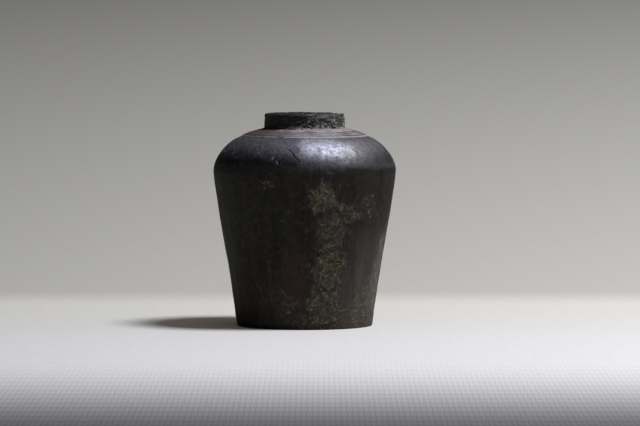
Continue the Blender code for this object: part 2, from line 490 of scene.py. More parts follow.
def make_clay_group():
    """Smoke-blackened clay: dark and rust-tinged clouds drawn out into strokes, with fine open grain."""
    inputs = [
        ("Place", VECTOR),
        ("Dark", COLOUR, (0.01, 0.01, 0.01, 1)),
        ("Warm", COLOUR, (0.03, 0.02, 0.015, 1)),
        ("Warmth", FLOAT, 0.5),
        ("Stroke", VECTOR, (1, 1, 0.08)),
    ]
    outputs = [("Colour", COLOUR), ("Strokes", FLOAT), ("Grain", FLOAT)]
    group, start, end = new_group("smoked_clay", inputs, outputs)
    place = start.outputs["Place"]
    along = vector_node("MULTIPLY", {0: place, 1: start.outputs["Stroke"]})[0]
    broad = grain(along, 260.0, 2.0, 0.5)
    fine = grain(along, 1100.0, 3.0, 0.6)
    clouds = grain(place, 95.0, 4.0, 0.6)
    open_grain = grain(place, 2600.0, 2.0, 0.6)
    warmth = times(spread(clouds, 0.35, 0.70), start.outputs["Warmth"])
    streaked = times(warmth, spread(broad, 0.35, 0.65, 0.2, 1.6), clamp=True)
    tone = blend(streaked, start.outputs["Dark"], start.outputs["Warm"])
    strokes = plus(times(broad, 0.5), times(fine, 0.5))
    shade = spread(strokes, 0.36, 0.64, 0.62, 1.45)
    give(end, Colour=shaded_by(tone, shade), Strokes=strokes, Grain=open_grain)
    return group


smoked_clay = make_clay_group()


def make_fleck_group():
    """Scattered pale pin flecks, where sand grains or dried drops show."""
    inputs = [("Place", VECTOR), ("Count", FLOAT, 300.0), ("Share", FLOAT, 0.2), ("Width", FLOAT, 0.2)]
    group, start, end = new_group("pin_flecks", inputs, [("Mask", FLOAT)])
    cells = add_node(
        "ShaderNodeTexVoronoi",
        {"Vector": start.outputs["Place"], "Scale": start.outputs["Count"], "Randomness": 1.0},
    )
    near = math_node("LESS_THAN", cells.outputs["Distance"], start.outputs["Width"])
    chance = add_node("ShaderNodeSeparateColor", {"Color": cells.outputs["Color"]}).outputs[0]
    picked = math_node("LESS_THAN", chance, start.outputs["Share"])
    give(end, Mask=times(near, picked))
    return group


pin_flecks = make_fleck_group()


def flecks_on(place, count, share, width):
    """Mask of pin flecks: this many cells to the metre, of which this share holds a fleck this wide."""
    inputs = {"Place": place, "Count": count, "Share": share, "Width": width}
    return use_group(pin_flecks, inputs)["Mask"]


def clay_material(name):
    """An empty material with its Principled BSDF, and the place on the pot that its patterns read."""
    material = bpy.data.materials.new(name)
    material.use_nodes = True
    nodes = material.node_tree.nodes
    return material, nodes["Principled BSDF"], nodes.new("ShaderNodeTexCoord").outputs["Object"]


def bump(height, distance, strength=1.0, normal=None):
    """Normal of a surface that stands this much higher where the height is 1."""
    inputs = {"Height": height, "Distance": distance, "Strength": strength}
    if normal is not None:
        inputs["Normal"] = normal
    return add_node("ShaderNodeBump", inputs).outputs["Normal"]


def connect(shader, colour, roughness, normal, specular, metal=0.0):
    """Gives a finish to its shader; specular is how much of a mirror it is where it isn't metal."""
    set_or_link(shader.inputs["Base Color"], colour)
    set_or_link(shader.inputs["Roughness"], roughness)
    set_or_link(shader.inputs["Normal"], normal)
    set_or_link(shader.inputs["Specular IOR Level"], specular)
    set_or_link(shader.inputs["Metallic"], metal)


BODY_DARK = (0.0122, 0.0119, 0.0106, 1)
BODY_WARM = (0.0240, 0.0170, 0.0142, 1)
UPWARD_STROKE = (1, 1, 0.07)


def body_finish(name, smooth, rough):
    """The outside of the body: clay burnished upwards, with wear, dust and lime over it, painted shade
    along its foot, and a pale right edge that is partly dust and partly painted reflection.
    """
    material, shader, place = clay_material(name)
    axes = axes_of(place)
    rusty = spread(axes[2], 34 * MM, 16 * MM, 0.084, 0.7)
    clay = use_group(
        smoked_clay,
        {"Place": place, "Dark": BODY_DARK, "Warm": BODY_WARM, "Warmth": rusty, "Stroke": UPWARD_STROKE},
    )
    streak_share = spread(clay["Strokes"], 0.36, 0.64, 0.5, 1.0)
    reddened = patches(
        place,
        ((-3.2, -18.5, 11.0), (5.5, 9.0, 17.0), (0, 6, 0), 3.0 * MM, 0.75),
        ((15.5, -15.0, 37.0), (4.5, 9.0, 7.0), (0, 0, 0), 9.0 * MM, 0.35),
    )
    rust = blend(times(reddened, streak_share), clay["Colour"], (0.034, 0.022, 0.0175, 1))
    scuffed = grain(place, 260.0, 3.0, 0.55, 0.8)
    scuff_lines = spread(from_middle(scuffed), 0.022, 0.0)
    scuffs = times(scuff_lines, spread(clay["Grain"], 0.40, 0.60, 0.3, 1.0))
    scuffs_here = times(scuffs, spread(grain(place, 130.0, 3.0), 0.42, 0.60))
    mottles = spread(grain(place, 700.0, 4.0, 0.65), 0.48, 0.72, 0.0, 0.5)
    rubbed = most_of([times(scuffs_here, 0.7), mottles])
    scruffy = blend(rubbed, rust, (0.036, 0.035, 0.031, 1))
    low = spread(axes[2], 33 * MM, 8 * MM)
    right = spread(axes[0], 4.5 * MM, 17.5 * MM)
    dust = times(times(low, right), streak_share)
    dusted = blend(dust, scruffy, (0.084, 0.073, 0.067, 1))
    # Pale patch along the right edge: partly chalky dust, partly a painted grazing reflection of the window.
    edge = patches(
        place,
        ((20.0, -6.5, 13.5), (5.5, 7.0, 14.0), (0, 12, 24), 9.0 * MM),
        ((18.5, -7.0, 7.0), (4.0, 6.5, 8.0), (0, 0, 0), 6.0 * MM),
    )
    broken_edge = times(edge, plus(times(streak_share, 0.6), mottles))
    chalk_and_painted_reflection = blend(broken_edge, dusted, (0.190, 0.185, 0.170, 1))
    # Painted shade: near black within about 2 mm of the bottom, where the foot turns under onto the cloth,
    # thinner on the lit right side.
    foot_shade_line = plus(axes[2], times(right, 4 * MM))
    above_foot_shade = spread(plus(foot_shade_line, times(scuffed, 1.5 * MM)), 0.6 * MM, 2.4 * MM)
    with_foot_shade = blend(above_foot_shade, (0.006, 0.0055, 0.005, 1), chalk_and_painted_reflection)
    lime = use_group(lime_crust, {"Place": place, "Amount": 1.0})
    flecks = flecks_on(place, count=240.0, share=0.05, width=0.09)
    flecked = blend(flecks, with_foot_shade, (0.090, 0.087, 0.075, 1))
    scratches = patches(
        place,
        ((4.8, -17.2, 2.0), (2.6, 3.0, 0.24), (0, 8, 0), 3.0 * MM, 0.45),
        ((9.3, -15.6, 5.2), (2.6, 4.0, 0.20), (0, 8, 0), 3.0 * MM, 0.4),
        ((-9.8, -21.4, 37.9), (2.0, 4.0, 0.26), (0, 28, 0), 4.0 * MM, 0.35),
        ((-0.3, -22.9, 32.4), (1.6, 4.0, 0.30), (0, -12, 0), 4.0 * MM, 0.16),
        ((13.4, -18.2, 29.9), (2.4, 4.0, 0.26), (0, -30, 0), 4.0 * MM, 0.35),
    )
    scratched = blend(scratches, flecked, (0.16, 0.155, 0.14, 1))
    colour = blend(lime["Mask"], scratched, lime["Colour"])
    polish = spread(clay["Strokes"], 0.35, 0.65, smooth, rough)
    dulled = spread(lime["Mask"], 0.0, 0.6, 0.0, 0.4)
    roughness = plus(polish, dulled, clamp=True)
    strokes = bump(clay["Strokes"], 0.05 * MM, 0.6)
    grained = bump(clay["Grain"], 0.02 * MM, 0.5, strokes)
    crusted = bump(lime["Height"], 0.15 * MM, 0.8, grained)
    connect(shader, colour, roughness, crusted, specular=0.08)
    return material


foot_disc.data.materials.append(body_finish("foot_clay", smooth=0.60, rough=0.80))
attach(foot_disc, "root")
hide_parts("base_disc")


# ---- Base coil ---------------------------------------------------------------------------------
# A thin roll of soft clay laid in the corner between the disc and the wall and pressed home with the
# end of a stick all the way round, which leaves a ring of shallow dents.

coil_low, coil_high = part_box("base_seal_coil")
coil_inner = radii("base_seal_coil")[0]
coil_outer = coil_high.x + SEAM
coil_foot = coil_low.z - SEAM

base_coil = turned_piece(
    "base_coil",
    [
        (coil_outer, coil_foot),
        (coil_outer - 1.2 * MM, coil_foot),
        *swept(
            (coil_inner, coil_foot),
            (coil_inner + 0.1 * MM, coil_foot + 1.5 * MM),
            (coil_outer - 1.5 * MM, coil_high.z - 0.1 * MM),
            (coil_outer, coil_high.z),
            6,
        ),
        (coil_outer, (coil_foot + coil_high.z) / 2),
    ],
    sides=96,
)
soften(base_coil, 0.2 * MM)
PRESSES = 22


def pressed(place):
    """1 in the middle of each of the stick's dents and 0 on the ridges between them."""
    around = math.atan2(place.y, place.x) * PRESSES / math.tau
    return ramp(abs(around - round(around)), 0.5, 0.1)


weigh(base_coil, "pressed", lambda p, n: pressed(p) * ramp(off_axis(p), coil_outer, coil_inner + MM))
press_in(base_coil, "pressed", 0.5 * MM)
relief(base_coil, 2.5 * MM, 0.35 * MM, "pressed")


def inside_finish(name, dark, warm):
    """Bare clay inside the pot, wiped with a wet finger and never burnished."""
    material, shader, place = clay_material(name)
    clay = use_group(
        smoked_clay,
        {"Place": place, "Dark": dark, "Warm": warm, "Warmth": 0.8, "Stroke": (0.5, 0.5, 2.2)},
    )
    flecks = flecks_on(place, count=420.0, share=0.25, width=0.16)
    colour = blend(flecks, clay["Colour"], (0.12, 0.10, 0.08, 1))
    roughness = spread(clay["Grain"], 0.3, 0.7, 0.82, 0.96)
    wiped = bump(clay["Strokes"], 0.12 * MM, 0.7)
    connect(shader, colour, roughness, bump(clay["Grain"], 0.05 * MM, 0.8, wiped), specular=0.3)
    return material


base_coil.data.materials.append(
    inside_finish("base_coil_clay", (0.026, 0.023, 0.021, 1), (0.048, 0.038, 0.031, 1))
)
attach(base_coil, "root")
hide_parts("base_seal_coil")


# ---- Wall --------------------------------------------------------------------------------------
# Built up from coils, thinned between finger and palm, and burnished upwards with a quartz pebble,
# so its outside is a ring of long shallow strokes. It stands on the disc and widens to the belly.

shoulder_low, shoulder_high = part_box("shoulder_dome")
belly_seam = (wall_high.z + shoulder_low.z) / 2
wall_rise = wall_high.z - wall_low.z
BELLY_PULL = 0.095  # how upright the wall leaves the belly, as a share of its rise
FOOT_PULL = 0.34  # how far up the foot's own lean reaches, as a share of the same rise
FOOT_LEAN = 0.042 * wall_rise


def wall_curve(offset, count):
    """Stations down the wall's outside from the belly to the foot, moved in towards the axis."""
    return swept(
        (belly_radius - offset, belly_seam - HAIRLINE / 2),
        (belly_radius - offset, wall_high.z - BELLY_PULL * wall_rise),
        (foot_radius - offset + FOOT_LEAN, wall_low.z + FOOT_PULL * wall_rise),
        (foot_radius - offset, foot_seam + HAIRLINE / 2),
        count,
    )


wall = turned_piece("wall", wall_curve(0, 29) + wall_curve(wall_thickness, 7)[::-1])
soften(wall, 0.02 * MM)


def between_the_seams(place, normal):
    """1 on the wall's outside, fading to 0 at the seams above and below."""
    above_foot = ramp(place.z, foot_seam, foot_seam + 1.5 * MM)
    return on_the_side(place, normal) * above_foot * ramp(place.z, belly_seam, belly_seam - 1.5 * MM)


weigh(wall, "outside", between_the_seams)
weigh(wall, "side", on_the_side)
weigh(wall, "inside", on_the_inside)
weigh(wall, "lime", lime_weight)
relief(wall, UNEVEN_SIZE, UNEVEN_DEPTH, "side")
relief(wall, 2.4 * MM, 0.14 * MM, "outside", stretch=(1, 1, 9))
relief(wall, 0.9 * MM, 0.22 * MM, "lime", noise_type="HARD_NOISE")
relief(wall, 3.0 * MM, 0.5 * MM, "inside", stretch=(2.5, 2.5, 0.7))


def knock(piece, place, reach, depth):
    """Knocks a small dent of this reach and depth, all in mm, into the surface nearest this place."""
    spot = Vector(place) * MM
    weigh(piece, "knock", lambda p, n: ramp((p - spot).length, reach * MM, 0) * on_the_outside(p, n))
    press_in(piece, "knock", depth * MM)
    piece.vertex_groups.remove(piece.vertex_groups["knock"])


def on_the_outside(place, normal):
    """1 where the surface faces away from the pot's axis, and 0 where it faces in."""
    return ramp(normal.x * place.x + normal.y * place.y + normal.z * 5 * MM, 0, 3 * MM)


knock(wall, (-20.2, 0.0, 16.8), 1.6, 0.45)
knock(wall, (23.0, -1.0, 34.3), 1.3, 0.40)
knock(wall, (17.5, -9.0, 9.0), 1.8, 0.30)
knock(wall, (-6.0, 22.0, 30.0), 2.0, 0.40)

wall.data.materials.append(body_finish("wall_clay", smooth=0.50, rough=0.70))
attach(wall, "root")
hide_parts("body_wall")


# ---- Belly coil --------------------------------------------------------------------------------
# A second soft roll, reached through the still open shoulder and smeared flat over the inside of the
# seam, so that the wall and the shoulder can't part while they dry.

band_low, band_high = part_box("belly_seal_coil")
band_outer = band_high.x + SEAM
band_inner = radii("belly_seal_coil")[0]
band_middle = (band_low.z + band_high.z) / 2

belly_coil = turned_piece(
    "belly_coil",
    [
        (band_outer - 0.25 * MM, band_low.z),
        *swept(
            (band_outer - 0.6 * MM, band_low.z + 0.15 * MM),
            (band_inner, band_low.z + 1.0 * MM),
            (band_inner, band_high.z - 1.2 * MM),
            (band_outer - 1.2 * MM, band_high.z - 0.1 * MM),
            9,
        ),
        (band_outer - 0.75 * MM, band_high.z),
        (band_outer - 0.15 * MM, band_middle + 0.8 * MM),
        (band_outer, band_middle),
        (band_outer - 0.05 * MM, band_middle - 1.2 * MM),
    ],
    sides=96,
)
soften(belly_coil, 0.15 * MM)
weigh(
    belly_coil,
    "pressed",
    lambda p, n: pressed(p) * ramp(off_axis(p), band_outer, band_inner + 0.4 * MM),
)
press_in(belly_coil, "pressed", 0.45 * MM)
relief(belly_coil, 2.5 * MM, 0.3 * MM, "pressed")
belly_coil.data.materials.append(
    inside_finish("belly_coil_clay", (0.028, 0.025, 0.023, 1), (0.050, 0.040, 0.033, 1))
)
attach(belly_coil, "root")
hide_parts("belly_seal_coil")


# ---- Shoulder ----------------------------------------------------------------------------------
# Pressed as a shallow bowl and turned over on to the wall. It was burnished longest, round and round,
# and still shines where the smoke left it blue-black; the pale lavender shine high on its front is painted
# highlight. A drying crack and a few knocks mark its front.

rim_radius = radii("shoulder_dome", low=shoulder_high.z - 0.02 * MM)[1]
RIM_SLOPE = math.radians(17.5)
RIM_FULLNESS = 0.57  # how far the slope at the rim holds, as a share of the way out to the belly
BELLY_FULLNESS = 0.33  # how far the belly's upright holds, as a share of the shoulder's rise
shoulder_rise = shoulder_high.z - shoulder_low.z
rim_pull = RIM_FULLNESS * (belly_radius - rim_radius)
inner_pull = 0.4 * (belly_radius - rim_radius)
rim_inner_radius = rim_radius - wall_thickness * math.sin(RIM_SLOPE)
rim_inner_height = shoulder_high.z - wall_thickness * math.cos(RIM_SLOPE)

shoulder = turned_piece(
    "shoulder",
    [
        *swept(
            (rim_radius - 0.10 * MM, shoulder_high.z + 0.03 * MM),
            (rim_radius + rim_pull, shoulder_high.z - rim_pull * math.tan(RIM_SLOPE)),
            (belly_radius, shoulder_low.z + BELLY_FULLNESS * shoulder_rise),
            (belly_radius, belly_seam + HAIRLINE / 2),
            17,
        ),
        *swept(
            (belly_radius - wall_thickness, belly_seam + HAIRLINE / 2),
            (belly_radius - wall_thickness, shoulder_low.z + 0.15 * shoulder_rise),
            (rim_inner_radius + inner_pull, rim_inner_height - inner_pull * math.tan(RIM_SLOPE)),
            (rim_inner_radius, rim_inner_height),
            6,
        ),
    ],
)
soften(shoulder, 0.02 * MM)


def over_the_shoulder(place, normal):
    """1 on the shoulder's outside, fading to 0 just below its rim."""
    facing = ramp(normal.z * 0.7 + on_the_side(place, normal), 0.3, 0.7)
    return facing * ramp(place.z, shoulder_high.z, shoulder_high.z - 0.8 * MM)


weigh(shoulder, "side", over_the_shoulder)
weigh(
    shoulder,
    "outside",
    lambda p, n: over_the_shoulder(p, n) * ramp(p.z, belly_seam, belly_seam + 1.5 * MM),
)
weigh(shoulder, "lime", lime_weight)
relief(shoulder, UNEVEN_SIZE, UNEVEN_DEPTH, "side")
relief(shoulder, 3.2 * MM, 0.10 * MM, "outside")
relief(shoulder, 0.9 * MM, 0.15 * MM, "lime", noise_type="HARD_NOISE")
knock(shoulder, (-8.0, -20.9, 44.4), 1.1, 0.20)
knock(shoulder, (-6.9, -22.0, 43.2), 1.0, 0.18)
knock(shoulder, (11.0, -17.5, 45.5), 2.4, 0.12)


def shoulder_finish():
    material, shader, place = clay_material("shoulder_clay")
    body = use_group(
        smoked_clay,
        {"Place": place, "Dark": BODY_DARK, "Warm": BODY_WARM, "Warmth": 0.08, "Stroke": UPWARD_STROKE},
    )
    axes = axes_of(place)
    mottle = grain(place, 420.0, 5.0, 0.65)
    wavering = swing(mottle, 3.0 * MM)
    across = plus(axes[0], wavering)
    up = plus(axes[2], wavering)
    burnish = spread(up, 40.8 * MM, 43.0 * MM)
    dusty = spread(mottle, 0.50, 0.75)
    shaded = times(spread(axes[2], 40.2 * MM, 41.6 * MM), 0.6)
    shadowed = blend(shaded, body["Colour"], (0.006, 0.0055, 0.0055, 1))
    dusted = blend(times(times(dusty, burnish), 0.5), shadowed, (0.060, 0.057, 0.054, 1))
    kept = minus(1.0, times(dusty, 0.45))
    gloss = times(burnish, kept)
    # Painted highlight: the burnish's colour grows paler and more lavender upwards, most right of the crack
    # and less again far right, where the window's highlight falls.
    past_crack = spread(plus(across, wavering), -2.6 * MM, -0.4 * MM)
    higher = spread(up, 43.0 * MM, 48.2 * MM)
    left_painted_highlight = blend(higher, (0.028, 0.029, 0.037, 1), (0.200, 0.204, 0.262, 1))
    right_painted_highlight = blend(higher, (0.064, 0.065, 0.079, 1), (0.395, 0.405, 0.500, 1))
    far_painted_highlight = blend(higher, (0.105, 0.105, 0.118, 1), (0.215, 0.216, 0.250, 1))
    towards_side = spread(across, 5.5 * MM, 12.0 * MM)
    painted_highlight = blend(past_crack, left_painted_highlight, blend(towards_side, right_painted_highlight, far_painted_highlight))
    speckle = spread(grain(place, 1300.0, 4.0, 0.6), 0.38, 0.62, 0.82, 1.18)
    dust_and_painted_highlight = shaded_by(blend(gloss, dusted, painted_highlight), speckle)
    lime = use_group(lime_crust, {"Place": place, "Amount": 0.8})
    flecks = flecks_on(place, count=420.0, share=0.10, width=0.11)
    flecked = blend(flecks, dust_and_painted_highlight, (0.080, 0.078, 0.078, 1))
    chips = patches(
        place,
        ((-8.0, -20.9, 44.4), (0.24, 3.0, 0.75), (0, 40, 0), 1.0 * MM, 0.8),
        ((-6.9, -22.0, 43.3), (0.22, 3.0, 0.95), (0, -25, 0), 1.0 * MM, 0.8),
        ((-11.6, -18.2, 45.6), (0.24, 2.0, 0.26), (0, 0, 0), 0.5 * MM, 0.9),
        ((-20.7, -6.2, 45.6), (1.0, 1.0, 0.26), (0, 0, 0), 0.5 * MM, 0.9),
        ((-0.7, -23.0, 43.2), (0.30, 2.0, 0.45), (0, 0, 0), 0.8 * MM, 0.7),
    )
    chipped = blend(chips, flecked, (0.17, 0.165, 0.155, 1))
    crack = patches(
        place,
        ((-3.9, -20.6, 46.2), (0.30, 4.0, 1.3), (0, -58, 0), 1.2 * MM, 0.9),
        ((-2.6, -21.9, 44.9), (0.34, 4.0, 1.5), (0, -38, 0), 1.2 * MM),
        ((-1.5, -22.8, 43.4), (0.30, 4.0, 1.3), (0, -22, 0), 1.2 * MM, 0.9),
    )
    cracked = blend(times(crack, 0.9), chipped, (0.003, 0.003, 0.003, 1))
    scratch = patches(
        place,
        ((-7.2, -18.0, 47.8), (3.6, 4.0, 0.18), (0, 10, 0), 3.0 * MM, 0.4),
        ((8.1, -22.0, 39.9), (4.6, 4.0, 0.20), (0, 22, 0), 2.2 * MM, 0.4),
    )
    scratched = blend(scratch, cracked, (0.17, 0.16, 0.15, 1))
    colour = blend(lime["Mask"], scratched, lime["Colour"])
    marks = most_of([flecks, chips, crack, scratch, lime["Mask"]])
    metal = times(gloss, minus(1.0, marks))
    rubbed = spread(body["Strokes"], 0.35, 0.65, 0.46, 0.56)
    dull = times(minus(1.0, metal), 0.22)
    roughness = plus(rubbed, dull, clamp=True)
    dabs = bump(body["Strokes"], 0.05 * MM, 0.5)
    grained = bump(mottle, 0.08 * MM, 0.6, dabs)
    crusted = bump(lime["Height"], 0.15 * MM, 0.7, grained)
    broken = bump(plus(crack, chips), -0.06 * MM, 0.6, crusted)
    connect(shader, colour, roughness, broken, specular=0.15, metal=metal)
    return material


shoulder.data.materials.append(shoulder_finish())
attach(shoulder, "root")
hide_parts("shoulder_dome")


# ---- Neck seat ---------------------------------------------------------------------------------
# A ring of leather-hard clay let into the shoulder's opening with slip and scraped level on a turning
# board, which left fine circles. It was never burnished, and pale slip still shows along its edge.

seat_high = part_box("neck_seat_ring")[1]
collar_low, collar_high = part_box("neck_collar")
neck_radius = collar_high.x
mouth_radius = radii("neck_collar")[0]
seat_edge_radius = rim_radius - 0.16 * MM
seat_edge_height = shoulder_high.z + 0.18 * MM
recess_radius = radii("neck_seat_ring", low=seat_high.z - 0.02 * MM)[0]
recess_floor = collar_low.z - SEAM
SCRAPE_HEIGHTS = [0, 0.03, -0.01, 0.04, 0, -0.03, 0.02, 0.05, -0.02, 0.01, 0.04, -0.02, 0.03, 0, 0.03, -0.02]

dome = swept(
    (recess_radius + 0.1 * MM, seat_high.z),
    (recess_radius + 1.9 * MM, seat_high.z - 0.29 * MM),
    (seat_edge_radius - 1.9 * MM, seat_edge_height + 1.05 * MM),
    (seat_edge_radius, seat_edge_height),
    len(SCRAPE_HEIGHTS),
)
scraped_dome = [(radius, height + scrape * MM) for (radius, height), scrape in zip(dome, SCRAPE_HEIGHTS)]
neck_seat = turned_piece(
    "neck_seat",
    [
        *scraped_dome,
        (rim_inner_radius - 0.04 * MM, rim_inner_height),
        ((rim_inner_radius + mouth_radius) / 2, (rim_inner_height + seat_high.z - wall_thickness) / 2),
        (mouth_radius, seat_high.z - wall_thickness),
        (mouth_radius, recess_floor),
        (recess_radius - SEAM / 2, recess_floor),
    ],
)
soften(neck_seat, 0.10 * MM)
weigh(
    neck_seat,
    "top",
    lambda p, n: ramp(n.z, 0.3, 0.8) * ramp(off_axis(p), recess_radius, recess_radius + MM),
)
relief(neck_seat, 1.4 * MM, 0.10 * MM, "top")


def make_slip_line_group():
    """A line of dried slip along a seam: a ring at one height whose width comes and goes."""
    inputs = [("Place", VECTOR), ("Radius", FLOAT), ("Width", FLOAT, 0.2 * MM), ("Break", FLOAT, 0.4)]
    group, start, end = new_group("slip_line", inputs, [("Mask", FLOAT)])
    place = start.outputs["Place"]
    wobble = swing(grain(place, 140.0, 2.0), 0.5 * MM)
    offset = plus(minus(from_axis(place), start.outputs["Radius"]), wobble)
    away = math_node("ABSOLUTE", offset)
    line = spread(math_node("DIVIDE", away, start.outputs["Width"]), 1.0, 0.4)
    kept = start.outputs["Break"]
    gaps = spread(grain(place, 500.0, 3.0), kept, plus(kept, 0.12))
    give(end, Mask=times(line, gaps))
    return group


slip_line = make_slip_line_group()


def seat_finish():
    material, shader, place = clay_material("seat_clay")
    axes = axes_of(place)
    inputs = {"X": from_axis(place), "Y": times(axes[0], 0.03)}
    circles = grain(add_node("ShaderNodeCombineXYZ", inputs).outputs[0], 2200.0, 3.0, 0.6)
    clouds = grain(place, 160.0, 4.0, 0.6)
    # Painted reflection: the seat turns from brown on the left to pale lavender on the right, where it
    # mirrors the light above; wiped patches show browner clay through it. The inner slip lines keep to the
    # same right side.
    slip_and_painted_sheen_side = spread(axes[0], -12 * MM, 4 * MM)
    brown = blend(clouds, (0.048, 0.034, 0.030, 1), (0.092, 0.066, 0.058, 1))
    painted_sheen_mauve = blend(clouds, (0.170, 0.150, 0.175, 1), (0.335, 0.310, 0.355, 1))
    wiped = grain(stretched(place, (0.5, 1, 1)), 420.0, 4.0, 0.65)
    more_on_right = spread(axes[0], 6 * MM, 14 * MM, 0.0, 0.12)
    bared = spread(plus(wiped, more_on_right), 0.50, 0.63, 0.0, 0.85)
    wiped_painted_sheen = blend(bared, painted_sheen_mauve, (0.120, 0.092, 0.092, 1))
    tone = blend(slip_and_painted_sheen_side, brown, wiped_painted_sheen)
    lines = spread(circles, 0.35, 0.65, 0.70, 1.30)
    lined = shaded_by(tone, lines)
    slip_lines = []
    for radius, width, gaps, where in (
        (seat_edge_radius - 0.15 * MM, 0.28 * MM, 0.32, spread(axes[0], -14 * MM, 0.0, 0.35, 1.0)),
        (seat_edge_radius - 1.3 * MM, 0.25 * MM, 0.42, slip_and_painted_sheen_side),
        (recess_radius + 1.6 * MM, 1.1 * MM, 0.42, slip_and_painted_sheen_side),
    ):
        inputs = {"Place": place, "Radius": radius, "Width": width, "Break": gaps}
        slip_lines.append(times(use_group(slip_line, inputs)["Mask"], where))
    slip = most_of(slip_lines)
    colour = blend(times(slip, 0.75), lined, (0.46, 0.44, 0.47, 1))
    roughness = spread(clouds, 0.3, 0.7, 0.48, 0.68)
    circled = bump(circles, 0.05 * MM, 0.8)
    connect(shader, colour, roughness, bump(slip, 0.06 * MM, 0.7, circled), specular=0.45)
    return material


neck_seat.data.materials.append(seat_finish())
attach(neck_seat, "root")
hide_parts("neck_seat_ring")


# ---- Neck collar -------------------------------------------------------------------------------
# A thick ring rolled from coarse clay and set in the seat's recess. It was left as it dried, and is
# ridged, pitted and chipped, with its rim worn round and pale grit caught in the roughness.

LIP = 0.55 * MM
collar = turned_piece(
    "neck_collar_rough",
    [
        *swept(
            (mouth_radius + LIP, collar_high.z),
            (mouth_radius + 1.3 * MM, collar_high.z + 0.02 * MM),
            (neck_radius - 1.2 * MM, collar_high.z + 0.02 * MM),
            (neck_radius - LIP, collar_high.z),
            5,
        ),
        (neck_radius - 0.12 * MM, collar_high.z - 0.22 * MM),
        *swept(
            (neck_radius, collar_high.z - LIP),
            (neck_radius - 0.05 * MM, collar_high.z - 1.6 * MM),
            (neck_radius - 0.05 * MM, seat_high.z + 1.4 * MM),
            (neck_radius + 0.15 * MM, seat_high.z),
            11,
        ),
        (neck_radius + 0.05 * MM, recess_floor + HAIRLINE),
        (mouth_radius, recess_floor + HAIRLINE),
        (mouth_radius, collar_high.z - 3.2 * MM),
        (mouth_radius, collar_high.z - 1.8 * MM),
        (mouth_radius, collar_high.z - LIP),
        (mouth_radius + 0.12 * MM, collar_high.z - 0.2 * MM),
    ],
)
soften(collar, 0.12 * MM)


def rough_side(place, normal):
    """1 on the collar's outside and rim, and 0 in its seat."""
    facing = max(outwardness(place, normal), normal.z)
    return ramp(facing, 0.1, 0.6) * ramp(place.z, recess_floor, seat_high.z)


weigh(collar, "rough", rough_side)
weigh(collar, "grit", lambda p, n: rough_side(p, n) * ramp(p.x, -4 * MM, 6 * MM))
weigh(collar, "bore", on_the_inside)
weigh(
    collar,
    "worn",
    lambda p, n: ramp(p.z, collar_high.z - 1.5 * MM, collar_high.z) * ramp(p.x, 5 * MM, 9 * MM),
)
relief(collar, 1.3 * MM, 0.30 * MM, "rough", stretch=(1, 1, 0.45))
relief(collar, 0.42 * MM, 0.26 * MM, "rough", stretch=(1.3, 1.3, 0.6), noise_type="HARD_NOISE")
relief(collar, 0.35 * MM, 0.20 * MM, "grit", noise_type="HARD_NOISE")
relief(collar, 1.6 * MM, 0.3 * MM, "bore")
press_in(collar, "worn", 0.25 * MM)


def collar_finish():
    material, shader, place = clay_material("neck_clay")
    axes = axes_of(place)
    ridges_place = stretched(place, (0.55, 0.55, 2.2))
    ridges = grain(ridges_place, 900.0, 5.0, 0.70, 0.6)
    crumbs = grain(place, 2600.0, 3.0, 0.65)
    gritty_side = spread(axes[0], -7 * MM, 8 * MM)
    raised = plus(times(ridges, 0.6), times(crumbs, 0.4))
    cover = plus(raised, times(gritty_side, 0.12))
    grit = spread(cover, 0.57, 0.66)
    dark = blend(crumbs, (0.0055, 0.0055, 0.0065, 1), (0.016, 0.015, 0.015, 1))
    colour = blend(grit, dark, (0.16, 0.155, 0.16, 1))
    flecks = flecks_on(place, count=900.0, share=0.14, width=0.25)
    flecked = blend(times(flecks, gritty_side), colour, (0.42, 0.41, 0.40, 1))
    smear_height = plus(axes[2], swing(ridges, -7.0 * MM))
    near_foot = spread(smear_height, seat_high.z + 0.85 * MM, seat_high.z + 0.45 * MM)
    smear = times(near_foot, spread(axes[0], -7 * MM, 1 * MM))
    wet_slip = blend(crumbs, (0.20, 0.19, 0.20, 1), (0.44, 0.43, 0.45, 1))
    slipped = blend(smear, flecked, wet_slip)
    roughness = spread(grit, 0.0, 1.0, 0.62, 0.92)
    connect(shader, slipped, roughness, bump(raised, 0.30 * MM, 0.9), specular=0.3)
    return material


collar.data.materials.append(collar_finish())
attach(collar, "root")
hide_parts("neck_collar")


# ---- Slip bead ---------------------------------------------------------------------------------
# Slip full of pale grit, squeezed out round the foot of the collar when it was pushed into its seat,
# and left to dry in lumps. It is thinnest on the left.

bead_low, bead_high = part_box("neck_slip_bead")
bead_radius = bead_high.x
bead_foot = bead_low.z - SEAM + 0.05 * MM
slip_bead = turned_piece(
    "slip_bead",
    [
        (neck_radius + 0.12 * MM, bead_foot + 0.10 * MM),
        (neck_radius + 0.12 * MM, bead_foot + 0.25 * MM),
        *swept(
            (neck_radius + 0.25 * MM, bead_foot + 0.42 * MM),
            (neck_radius + 0.55 * MM, bead_foot + 0.40 * MM),
            (bead_radius - 0.45 * MM, bead_foot + 0.25 * MM),
            (bead_radius, bead_foot),
            6,
        ),
        ((neck_radius + bead_radius) / 2, bead_foot + 0.02 * MM),
    ],
)
soften(slip_bead, 0.10 * MM)
weigh(slip_bead, "free", lambda p, n: ramp(n.z, -0.2, 0.4))
weigh(slip_bead, "thin", lambda p, n: ramp(n.z, -0.2, 0.4) * ramp(p.x, 3 * MM, -7 * MM))
relief(slip_bead, 0.9 * MM, 0.35 * MM, "free", noise_type="HARD_NOISE")
relief(slip_bead, 0.35 * MM, 0.18 * MM, "free")
press_in(slip_bead, "thin", 0.15 * MM)


